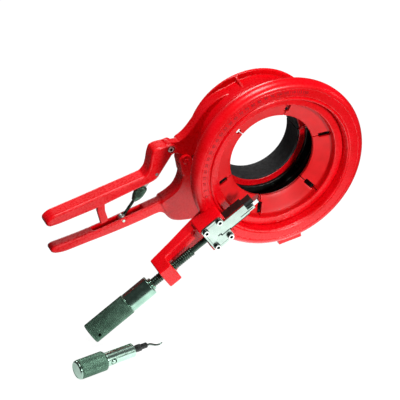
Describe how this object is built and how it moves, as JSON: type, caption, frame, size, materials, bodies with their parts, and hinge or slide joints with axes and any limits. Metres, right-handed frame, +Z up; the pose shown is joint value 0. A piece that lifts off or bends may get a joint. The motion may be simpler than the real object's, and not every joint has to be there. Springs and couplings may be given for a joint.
{
  "type": "pipe deburring tool",
  "caption": "Lever-locked pipe clamp with a turning hand ring and screw-fed cutter for deburring and bevelling pipe ends, with a loose swivel-blade hand deburrer",
  "frame": {"origin": "centre of the pipe clamp, on the pipe's axis", "axes": "+Y along the pipe, away from the cutter; +Z up, with the upper jaw above; grips towards -X"},
  "size_m": [0.4473, 0.2027, 0.3165],
  "materials": {
    "red_casting": "semi-gloss red powder coat on aluminium castings",
    "red_plastic": "moulded red plastic",
    "pad_rubber": "black grip liner",
    "pin_steel": "plain steel pins and screws",
    "knurled_steel": "satin steel, knurled on its grips",
    "bright_steel": "polished",
    "dark_steel": "dark turned steel",
    "brass_bush": "turned",
    "plate_steel": "satin plate",
    "black_oxide": "black oxide",
    "blade_steel": "ground"
  },
  "bodies": {
    "clamp_body": {"lower_jaw": "red_casting", "lower_pad": "pad_rubber", "jaw_pivot_pin": "pin_steel", "link_lower_pin": "pin_steel", "bearing_hub": "red_casting", "hub_screws": "pin_steel", "retaining_ring": "red_casting", "guide_segment_1": "red_plastic", "guide_segment_2": "red_plastic", "guide_segment_3": "red_plastic", "guide_segment_4": "red_plastic", "guide_segment_5": "red_plastic", "guide_segment_6": "red_plastic"},
    "upper_jaw": {"upper_jaw": "red_casting", "upper_pad": "pad_rubber"},
    "lever": {"lever": "red_casting", "lever_stop": "red_casting", "link_upper_pin": "pin_steel", "lever_pivot_pin": "pin_steel"},
    "link": {"link_rod": "pin_steel", "link_eye": "pin_steel"},
    "adjuster": {"adjuster_nut": "knurled_steel"},
    "rotor": {"turning_ring": "red_casting", "cutter_arm": "red_casting", "arm_screws": "pin_steel", "feed_bush": "brass_bush", "cover_plate": "plate_steel", "plate_screws": "pin_steel"},
    "slider": {"tool_slide": "black_oxide", "cutter_blade": "blade_steel", "blade_screws": "black_oxide"},
    "feed": {"feed_screw": "dark_steel", "knob_collar": "bright_steel", "feed_knob": "knurled_steel", "knob_pin": "pin_steel"},
    "hand_deburrer": {"deburrer_handle": "knurled_steel", "deburrer_cap": "bright_steel", "blade_holder": "black_oxide"},
    "button": {"detent_button": "bright_steel"},
    "swivel_blade": {"deburring_blade": "blade_steel"}
  },
  "joints": [
    {"name": "lever_hinge", "type": "hinge", "parent": "upper_jaw", "child": "lever", "pos_m": [-0.1236, 0.002, 0.0106], "axis": [0, 1, 0], "range_deg": [0, 22]},
    {"name": "jaw_hinge", "type": "hinge", "parent": "clamp_body", "child": "upper_jaw", "pos_m": [-0.1026, 0.002, -0.0124], "axis": [0, -1, 0], "range_deg": [0, 3.85]},
    {"name": "link_hinge", "type": "hinge", "parent": "clamp_body", "child": "link", "pos_m": [-0.1914, 0.002, -0.0849], "axis": [0, -1, 0], "range_deg": [0, 9.4]},
    {"name": "adjuster_turn", "type": "hinge", "parent": "link", "child": "adjuster", "pos_m": [-0.1446, 0.002, -0.0224], "axis": [-0.5994, 0, -0.8005], "continuous": true},
    {"name": "ring_turn", "type": "hinge", "parent": "clamp_body", "child": "rotor", "pos_m": [0, 0, 0], "axis": [0, 1, 0], "continuous": true},
    {"name": "cutter_feed", "type": "slide", "parent": "rotor", "child": "slider", "axis": [-0.8377, 0, -0.5461], "range_m": [-0.014, 0.025]},
    {"name": "knob_turn", "type": "hinge", "parent": "slider", "child": "feed", "pos_m": [-0.25132, -0.1045, -0.16383], "axis": [-0.8377, 0, -0.5461], "range_deg": [-1680, 3000]},
    {"name": "deburrer_lift", "type": "slide", "parent": "clamp_body", "child": "hand_deburrer", "axis": [0, 0, 1], "range_m": [0, 0.15]},
    {"name": "button_press", "type": "slide", "parent": "hand_deburrer", "child": "button", "axis": [-0.1736, 0.9848, 0], "range_m": [0, 0.0015], "stiffness_N_per_m": 600, "springref_m": -0.001},
    {"name": "blade_swivel", "type": "hinge", "parent": "hand_deburrer", "child": "swivel_blade", "pos_m": [-0.3229, -0.1736, -0.181], "axis": [0.9848, 0.1736, 0], "continuous": true}
  ],
  "couplings": [
    {"joint": "jaw_hinge", "follows": "lever_hinge", "ratio": 0.173},
    {"joint": "link_hinge", "follows": "lever_hinge", "ratio": 0.424},
    {"joint": "cutter_feed", "follows": "knob_turn", "m_per_rad": 0.00047746}
  ]
}
